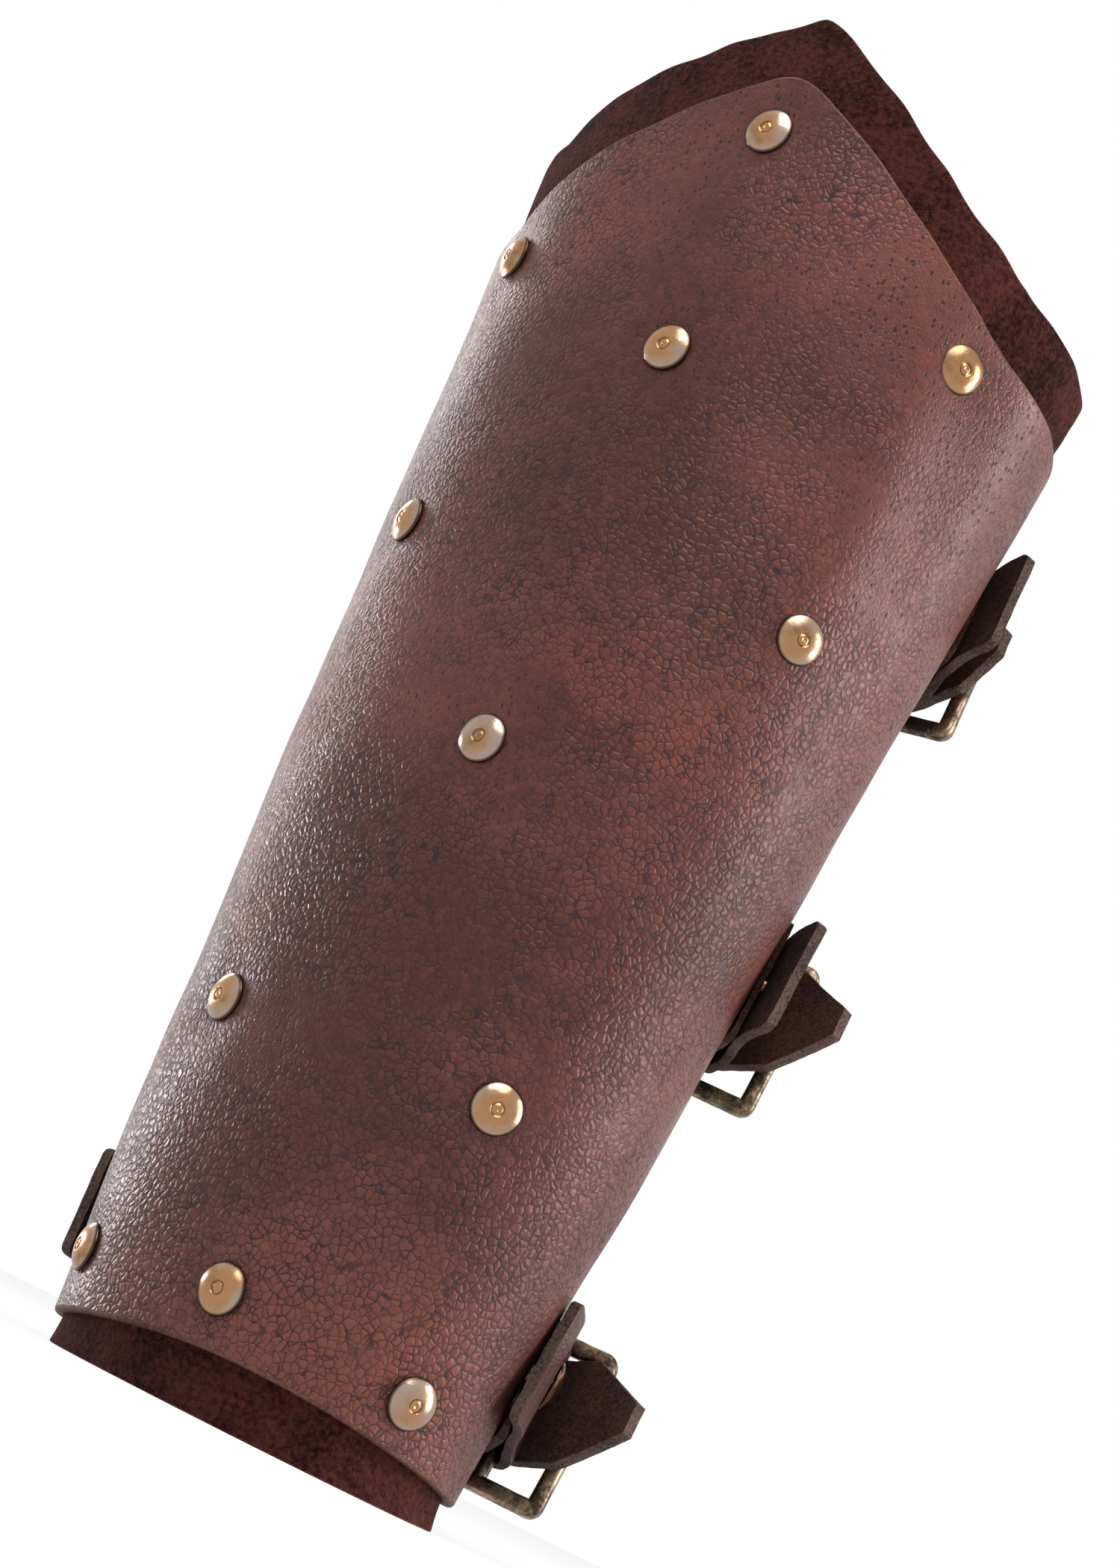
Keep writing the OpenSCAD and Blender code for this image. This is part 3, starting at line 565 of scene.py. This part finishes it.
def repeated(name, piece, places, mat):
    points = bpy.data.meshes.new(name + "Points")
    points.from_pydata([m.translation for m in places], [], [])
    turns = points.attributes.new("turn", "FLOAT_VECTOR", "POINT")
    for k, m in enumerate(places):
        turns.data[k].vector = m.to_euler()
    holder = bpy.data.objects.new(name + "Points", points)
    scene.collection.objects.link(holder)
    source = bpy.data.objects.new(name + "Source", piece)
    scene.collection.objects.link(source)
    tree = bpy.data.node_groups.new(name, "GeometryNodeTree")
    tree.interface.new_socket("Geometry", in_out="INPUT", socket_type="NodeSocketGeometry")
    tree.interface.new_socket("Geometry", in_out="OUTPUT", socket_type="NodeSocketGeometry")
    item = tree.interface.new_socket("Piece", in_out="INPUT", socket_type="NodeSocketObject")
    given = tree.nodes.new("NodeGroupInput")
    info = addNode(tree, "GeometryNodeObjectInfo", {"Object": given.outputs["Piece"]})
    turn = addNode(tree, "GeometryNodeInputNamedAttribute", {"Name": "turn"}, data_type="FLOAT_VECTOR")
    euler = addNode(tree, "FunctionNodeEulerToRotation", {0: turn.outputs[0]})
    copies = addNode(tree, "GeometryNodeInstanceOnPoints",
                     {"Points": given.outputs["Geometry"], "Instance": info.outputs["Geometry"],
                      "Rotation": euler.outputs[0]})
    chance = addNode(tree, "FunctionNodeRandomValue", {"Seed": 5}, data_type="FLOAT")
    marked = addNode(tree, "GeometryNodeStoreNamedAttribute",
                     {"Geometry": copies.outputs[0], "Name": "lot", "Value": chance.outputs[1]},
                     data_type="FLOAT", domain="INSTANCE")
    real = addNode(tree, "GeometryNodeRealizeInstances", {0: marked.outputs[0]})
    coated = addNode(tree, "GeometryNodeSetMaterial", {"Geometry": real.outputs[0]})
    coated.inputs["Material"].default_value = mat
    addNode(tree, "NodeGroupOutput", {0: coated.outputs[0]})
    modifier = holder.modifiers.new(name, "NODES")
    modifier.node_group = tree
    modifier[item.identifier] = source
    bpy.context.view_layer.update()
    shown = holder.evaluated_get(bpy.context.evaluated_depsgraph_get())
    mesh = bpy.data.meshes.new_from_object(shown)
    bpy.data.objects.remove(holder)
    bpy.data.objects.remove(source)
    mesh.name = name
    return mesh


caps = addPiece("caps", repeated("caps", capMesh, [seatMatrix(a, z, -0.45) for a, z in studs], studBrass),
                "bracer", [])
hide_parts("stud_caps")
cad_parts["stud_backs"].data.materials.clear()
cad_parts["stud_backs"].data.materials.append(studBrass)
print("studs made")


# Closures: straps and chapes are ribbons, with grain outwards, flesh inwards and cut edges.
# A closurePt is n out of the shell, t round it towards the gap and g along it from the chape's rivet.
def closurePt(c, n, t, g=0.0):
    a, s = c["turn"], c["swivel"]
    back = roundFace(a) * cosd(s) - upFace(a) * sind(s)
    up = upFace(a) * cosd(s) + roundFace(a) * sind(s)
    return facePt(a, c["z"]) + n * outFace(a) + t * back + g * up


def closureUp(c):
    return upFace(c["turn"]) * cosd(c["swivel"]) + roundFace(c["turn"]) * sind(c["swivel"])


chapeReach, pitch, halfBar, barR = 19.0, 11.5, 1.5, 1.4
chapeT, chapeHalf, strapT, strapHalf = 1.9, 11.5, 2.2, 10.5
foldR = barR + 0.1 + chapeT / 2
strapOver = barR + 0.1 + chapeT + 0.15 + strapT / 2
strapUnder = halfBar + 1.7 + strapT / 2
strapDip = (math.degrees(math.asin(strapOver / math.hypot(pitch, strapUnder)))
            + math.degrees(math.atan2(strapUnder, pitch)))


# In the buckle: i along the frame from its centre bar, o out of its plane, g along its bars
def bucklePt(c, i, o, g=0.0):
    f = c["frameTurn"]
    return closurePt(c, c["rise"] + i * sind(f) + o * cosd(f), chapeReach - i * cosd(f) + o * sind(f), g)


# Each row of a ribbon: centre, direction across, half width and thickness
def ribbon(name, rows, across=12, edge=0.22, darkRows=0):
    verts, faces, kinds = [], [], []
    for i, (p, w, half, thick) in enumerate(rows):
        ahead = (rows[min(i + 1, len(rows) - 1)][0] - rows[max(i - 1, 0)][0]).normalized()
        out = w.cross(ahead).normalized()
        w = ahead.cross(out)
        rim = [(half - edge * 0.25, thick / 2 - edge * 0.25), (half, thick / 2 - edge),
               (half, edge - thick / 2), (half - edge * 0.25, edge * 0.25 - thick / 2)]
        flat = [((half - edge) * (x / across * 2 - 1), thick / 2) for x in range(across + 1)]
        outline = flat + rim + [(-x, -y) for x, y in flat] + [(-x, -y) for x, y in rim]
        for x, y in outline:
            place = p + w * x + out * y
            wobble = 0.16 * noise.noise(place * 0.2) + 0.08 * noise.noise(place * 0.8)
            verts.append(place + out * wobble + w * (x / half) * 0.12 * noise.noise(place * 0.5))
    size = len(outline)
    for i in range(len(rows) - 1):
        for k in range(size):
            m = (k + 1) % size
            faces.append((i * size + k, i * size + m, (i + 1) * size + m, (i + 1) * size + k))
            kind = 0 if k < across else 1 if across + 5 <= k < 2 * across + 5 else 2
            kinds.append(1 if i < darkRows and kind == 2 else kind)
    last = (len(rows) - 1) * size
    faces += [tuple(range(size - 1, -1, -1)), tuple(last + k for k in range(size))]
    kinds += [1 if darkRows else 2, 2]
    return meshFrom(name, verts, faces, kinds)


def cutBy(name, mesh, cutters, mats):
    for part in [mesh] + cutters:
        for mat in mats:
            part.materials.append(mat)
    for cutter in cutters:
        cutter.polygons.foreach_set("material_index", [2] * len(cutter.polygons))
    target = bpy.data.objects.new(name + "Cut", mesh)
    scene.collection.objects.link(target)
    made = []
    for cutter in cutters:
        tool = bpy.data.objects.new(name + "Tool", cutter)
        scene.collection.objects.link(tool)
        modifier = target.modifiers.new("cut", "BOOLEAN")
        modifier.operation = "DIFFERENCE"
        modifier.solver = "EXACT"
        modifier.object = tool
        made.append(tool)
    bpy.context.view_layer.update()
    result = bpy.data.meshes.new_from_object(target.evaluated_get(bpy.context.evaluated_depsgraph_get()))
    for o in made + [target]:
        bpy.data.objects.remove(o)
    result.name = name
    return result


def prism(name, outline, low, high):
    count = len(outline)
    verts = [Vector((x, y, z)) for z in (low, high) for x, y in outline]
    faces = [tuple(range(count - 1, -1, -1)), tuple(range(count, 2 * count))]
    faces += [(k, (k + 1) % count, count + (k + 1) % count, count + k) for k in range(count)]
    return meshFrom(name, verts, faces)


def slotOutline(start, end, r):
    points = [(end + r * sind(a), r * cosd(a)) for a in range(0, 181, 15)]
    points += [(start - r * sind(a), -r * cosd(a)) for a in range(0, 181, 15)]
    return points[::-1]


def placed(mesh, x, y, z, p):
    p = p * mm
    mesh.transform(Matrix(((x.x, y.x, z.x, p.x), (x.y, y.y, z.y, p.y), (x.z, y.z, z.z, p.z), (0, 0, 0, 1))))
    return mesh


def smoothRows(rows, steps):
    made = []
    count = len(rows)
    for i in range(count):
        a, b, c = rows[max(0, i - 1)], rows[i], rows[min(count - 1, i + 1)]
        for k in range(steps):
            x = k / steps
            parts = ((1 - x) ** 2 / 2, 0.5 + x * (1 - x), x * x / 2)
            made.append(tuple(a[j] * parts[0] + b[j] * parts[1] + c[j] * parts[2] for j in range(4)))
    return made[1:]


# From the riveted heel round the open underside, under the frame, over the centre bar and out as the tail
def strapRows(c):
    half, shift, skew = strapHalf, 1.0, 0.05
    leaveTurn, heelDip, buckleDip, pointLen, taperBy = 48, -0.1, 0.16, 13.5, half - 3
    rest = layerGap + 0.25 + strapT / 2
    heelZ = c["z"] - heelDrop
    base, out = facePt(c["strapTurn"], heelZ), outFace(c["strapTurn"])
    along, up = roundFace(c["strapTurn"]), upFace(c["strapTurn"])
    wide = closureUp(c)

    def buckleRow(i, o):
        return (bucklePt(c, i, o, shift + skew * i), wide, half, strapT)

    rows = [(base + out * rest + along * s, up, w, strapT)
            for s, w in ((12.0, half - 1.4), (11.7, half - 0.6), (10.5, half), (6.0, half), (0.0, half))]
    last = c["turn"] + leaveTurn - 360
    endZ = bucklePt(c, -pitch - halfBar - strapUnder, -strapUnder).z
    length = ringR(c["z"]) * math.radians(360 - leaveTurn + c["strapTurn"] - c["turn"])
    for k in range(1, 10):
        x = k / 9
        a = c["strapTurn"] + (last - c["strapTurn"]) * x
        z = (heelZ * (2 * x ** 3 - 3 * x * x + 1) + heelDip * length * (x ** 3 - 2 * x * x + x)
             + endZ * (3 * x * x - 2 * x ** 3) + buckleDip * length * (x ** 3 - x * x))
        rows.append((facePt(a, z, rest + 0.25 - 1.9 * x * x), upFace(a), half, strapT))
    rows += [buckleRow(-pitch - 3.5, -strapUnder - 0.3), buckleRow(-pitch, -strapUnder - 0.5),
             buckleRow(-pitch + 2.5, -strapUnder + 0.9)]
    for k in range(6, -1, -1):
        a = 90 - strapDip + k * strapDip / 3
        rows.append(buckleRow(strapOver * cosd(a), strapOver * sind(a)))
    rows += [buckleRow(pitch - 2, -strapUnder + 2 * math.tan(math.radians(strapDip))),
             buckleRow(pitch, -strapUnder)]
    tailTurn, reach = 12 - strapDip, c["tail"]
    neck = max(0.4, reach - pointLen)
    tail = []
    for s in [0.4 + (reach - 0.4) * k / 14 for k in range(15)]:
        w = half if s <= neck else half - taperBy * (s - neck) / (reach - neck)
        sag = 0.012 * s * s
        tail.append((bucklePt(c, pitch + s * cosd(tailTurn), -strapUnder + s * sind(tailTurn) - sag,
                              shift + skew * (pitch + s)), wide, w, strapT))
    return smoothRows(rows, 4) + tail


# From the thinned inner end out to the fold round the centre bar, and back over the rivet to the free end
def chapeRows(c):
    rise, lift = c["rise"], c["tabLift"]
    path = [(0.35, -5.0, 1.0), (0.65, -2.5, 1.3), (0.95, 0.0, 1.6), (1.1, chapeReach / 4, chapeT),
            (0.7, chapeReach / 2, chapeT)]
    path += [(rise + foldR * sind(a), chapeReach + foldR * cosd(a), chapeT) for a in range(-105, 91, 13)]
    path += [(n, t, chapeT) for n, t in (
        (rise + foldR + 0.35, chapeReach - 3.5), (4.15, 12.5), (3.7, 8.0), (3.1, 5.0), (2.9, 1.5),
        (2.9, -2.0), (2.95 + lift * 0.1, -5.0), (3.0 + lift * 0.45, -8.0), (3.0 + lift * 0.9, -10.6),
        (3.0 + lift * 1.15, -12.2))]
    wide = closureUp(c)
    half = chapeHalf
    rows = []
    for k, (n, t, thick) in enumerate(path):
        w = half if t > -9 or k < 9 else half + 0.4
        if k == len(path) - 1:
            w = half - 0.9
        rows.append((closurePt(c, n, t), wide, w, thick))
    return smoothRows(rows, 3)


# Metal bars: a section at each point of a path
def sweptBar(name, path, sections, closed, up):
    verts, faces = [], []
    count, size = len(path), len(sections[0])
    for i, p in enumerate(path):
        before = path[i - 1] if closed or i > 0 else p
        after = path[(i + 1) % count] if closed or i < count - 1 else p
        ahead = (after - before).normalized()
        side = ahead.cross(up).normalized()
        for x, y in sections[i]:
            verts.append(p + side * x + up * y)
    for i in range(count if closed else count - 1):
        j = (i + 1) % count
        for k in range(size):
            m = (k + 1) % size
            faces.append((i * size + k, j * size + k, j * size + m, i * size + m))
    if not closed:
        faces.append(tuple(range(size)))
        faces.append(tuple((count - 1) * size + k for k in range(size - 1, -1, -1)))
    return faceOut(meshFrom(name, verts, faces))


def oval(width, height, power=3.0, steps=20):
    points = []
    for k in range(steps):
        x, y = math.cos(math.tau * k / steps), math.sin(math.tau * k / steps)
        r = (abs(x) ** power + abs(y) ** power) ** (-1 / power)
        points.append((x * r * width / 2, y * r * height / 2))
    return points


def joined(name, meshes):
    tool = bmesh.new()
    for mesh in meshes:
        tool.from_mesh(mesh)
    made = bpy.data.meshes.new(name)
    tool.to_mesh(made)
    tool.free()
    return made


frameOffset, frameLen = 1.2, 33.0


def frameMesh(name):
    halfI, halfG, corner = pitch, frameLen / 2 - halfBar, 1.1
    path = []
    for turn, signI, signG in ((0, 1, 1), (90, -1, 1), (180, -1, -1), (270, 1, -1)):
        for k in range(7):
            a = turn + 15 * k
            path.append(Vector((signI * (halfI - corner) + corner * cosd(a), 0,
                                signG * (halfG - corner) + corner * sind(a))))
    dense = []
    for i, p in enumerate(path):
        q = path[(i + 1) % len(path)]
        pieces = max(1, int((q - p).length / 1.5))
        dense += [p.lerp(q, k / pieces) for k in range(pieces)]
    sections = []
    for p in dense:
        near = min(1.0, (abs(abs(p.x) - halfI) + abs(abs(p.z) - halfG)) / 4)
        grow = 1.03 - 0.03 * near + 0.03 * noise.noise(p * 0.3)
        sections.append(oval(3.05 * grow, 2.95 * grow, 3.8))
    ring = sweptBar(name, dense, sections, True, Vector((0, 1, 0)))
    bar = [Vector((0, 0, -halfG + 2 * halfG * k / 20)) for k in range(21)]
    rod = sweptBar(name, bar, [oval(2 * barR, 2 * barR, 2.0)] * 21, False, Vector((0, 1, 0)))
    return joined(name, [ring, rod])


def prongMesh(name):
    mid = barR + 0.06 + 0.76
    path = [(mid * cosd(a), mid * sind(a)) for a in range(-145, 91, 12)]
    path += [(-1.4, 2.42), (-3.2, 2.52), (-6, 2.5), (-9, 2.47), (-11.5, 2.44), (-13, 2.38), (-13.9, 2.2),
             (-14.1, 2.1)]
    points = [Vector((x, y, 0)) for x, y in path]
    sections = []
    for x, y in path:
        thick = 1.45 if x > -1.5 else 1.75
        narrow = 1.0 if x > -10 else max(0.25, 1 - (-x - 10) / 6.5)
        section = oval(2.6 * (1 if x > -1.5 else 0.55 + 0.45 * narrow), thick * narrow ** 0.5, 2.4)
        sections.append([(y, x) for x, y in section])
    return sweptBar(name, points, sections, False, Vector((0, 0, 1)))


strapMats = [strapHide, strapFlesh, strapEdge]
punchR, punchDrop = 2.0, 6
for place, c in closures.items():
    wide = closureUp(c)
    ahead = bucklePt(c, 1, 0) - bucklePt(c, 0, 0)
    over = bucklePt(c, 0, 1) - bucklePt(c, 0, 0)
    centre = bucklePt(c, 0, 0)

    # Strap with its prong slot and two punched holes
    tilt = (ahead * cosd(strapDip) + over * sind(strapDip), over * cosd(strapDip) - ahead * sind(strapDip))
    slot = prism("slot", slotOutline(-8.6, 0.4, punchR), 0.0, 9.0)
    cutters = [placed(slot, tilt[0], -wide, tilt[1], centre)]
    for a in (166.0, 190.0):
        cutters.append(placed(prism("punch", slotOutline(-0.01, 0.01, punchR), -8.0, 8.0),
                              roundFace(a), upFace(a), outFace(a), facePt(a, c["z"] - punchDrop)))
    strapMesh = cutBy(place + "Strap", ribbon(place + "Strap", strapRows(c)), cutters, strapMats)
    strap = addPiece(place + "Strap", strapMesh, "bracer", [])
    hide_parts(place + "_strap")

    # Chape, folded round the centre bar, with a slot for the prong
    slotStart, slotEnd, slotHalf = chapeReach - 4.5, chapeReach + 6, 2.2
    slotTool = prism("gap", [(slotStart, -slotHalf), (slotEnd, -slotHalf), (slotEnd, slotHalf),
                             (slotStart, slotHalf)], -8.0, 10.0)
    back = closurePt(c, 0, 1) - closurePt(c, 0, 0)
    slotTool = placed(slotTool, back, wide, outFace(c["turn"]), closurePt(c, 0, 0))
    chapeMesh = ribbon(place + "Chape", chapeRows(c), darkRows=9)
    chapeMesh = cutBy(place + "Chape", chapeMesh, [slotTool], strapMats)
    chape = addPiece(place + "Chape", chapeMesh, "bracer", [])
    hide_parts(place + "_chape")

    # Rivets with their stems and backs
    for which, a, z, seat in (("Strap", c["strapTurn"], c["z"] - heelDrop, 2.65),
                              ("Chape", c["turn"], c["z"], 3.9)):
        stem = turned("stem", [(4.1, -4.95 - seat), (4.5, -4.55 - seat), (4.4, -4.15 - seat),
                               (1.5, -4.15 - seat), (1.5, 0.0), (0.0, 0.0)])
        mesh = joined(place + which + "Rivet", [capMesh, stem])
        mesh.transform(seatMatrix(a, z, seat))
        rivet = addPiece(place + which + "Rivet", mesh, "bracer", [studBrass])
        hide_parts(place + "_" + which.lower() + "_rivet")

    # Buckle frame and prong
    ring = addPiece(place + "Frame", placed(frameMesh(place + "Frame"), ahead, over, wide,
                                            centre - wide * frameOffset), place + "_frame",
                    [buckleBrass])
    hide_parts(place + "_buckle_frame")
    prong = addPiece(place + "Prong", placed(prongMesh(place + "Prong"), ahead, over, wide, centre),
                     place + "_prong", [buckleBrass])
    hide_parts(place + "_buckle_prong")
    print(place, "closure made")

# Floor, world and lamps: both surfaces are white to the camera and in reflections
floorGlow, worldLight = 0.88, 0.3


def seenShare(tree):
    rays = addNode(tree, "ShaderNodeLightPath")
    return math2(tree, "MAXIMUM", rays.outputs["Is Camera Ray"],
                 math2(tree, "MAXIMUM", rays.outputs["Is Glossy Ray"], rays.outputs["Is Transmission Ray"]))


floorMesh = bpy.data.meshes.new("floor")
floorMesh.from_pydata([(-4, -4, 0), (4, -4, 0), (4, 4, 0), (-4, 4, 0)], [], [(0, 1, 2, 3)])
floor = bpy.data.objects.new("floor", floorMesh)
scene.collection.objects.link(floor)
pale, tree, shader = material("pale", Base_Color=(0.85, 0.85, 0.85, 1), Roughness=0.9,
                              Specular_IOR_Level=0.1)
seen = seenShare(tree)
glow = addNode(tree, "ShaderNodeEmission", {"Color": (1, 1, 1, 1), "Strength": 1.0})
glowing = math2(tree, "MULTIPLY", seen, floorGlow)
blend = addNode(tree, "ShaderNodeMixShader", {0: glowing, 1: shader.outputs[0], 2: glow.outputs[0]})
tree.links.new(blend.outputs[0], tree.nodes["Material Output"].inputs["Surface"])
floorMesh.materials.append(pale)

world = bpy.data.worlds.new("world")
world.use_nodes = True
scene.world = world
tree = world.node_tree
back = tree.nodes["Background"]
back.inputs["Color"].default_value = (1, 1, 1, 1)
tree.links.new(ramp(tree, seenShare(tree), 0.0, 1.0, worldLight, 1.0), back.inputs["Strength"])


def softbox(name, place, aim, wide, tall, power):
    data = bpy.data.lights.new(name, "AREA")
    data.shape = "RECTANGLE"
    data.size, data.size_y, data.energy = wide, tall, power
    lamp = bpy.data.objects.new(name, data)
    lamp.location = place
    lamp.rotation_euler = (Vector(aim) - Vector(place)).to_track_quat("-Z", "Y").to_euler()
    scene.collection.objects.link(lamp)


softbox("leftBox", (-0.92, 0.26, 0.07), (0, 0, 0.04), 0.32, 0.12, 3.6)
softbox("edgeBox", (-0.84, 0.42, 0.5), (0, 0, 0.2), 0.2, 0.4, 2.0)
softbox("rightBox", (0.9, 0.26, 0.36), (0, 0, 0.16), 0.3, 0.8, 10.0)
softbox("topBox", (0.1, -0.5, 1.0), (0, 0, 0.13), 0.8, 0.8, 11.0)
print("stage made")
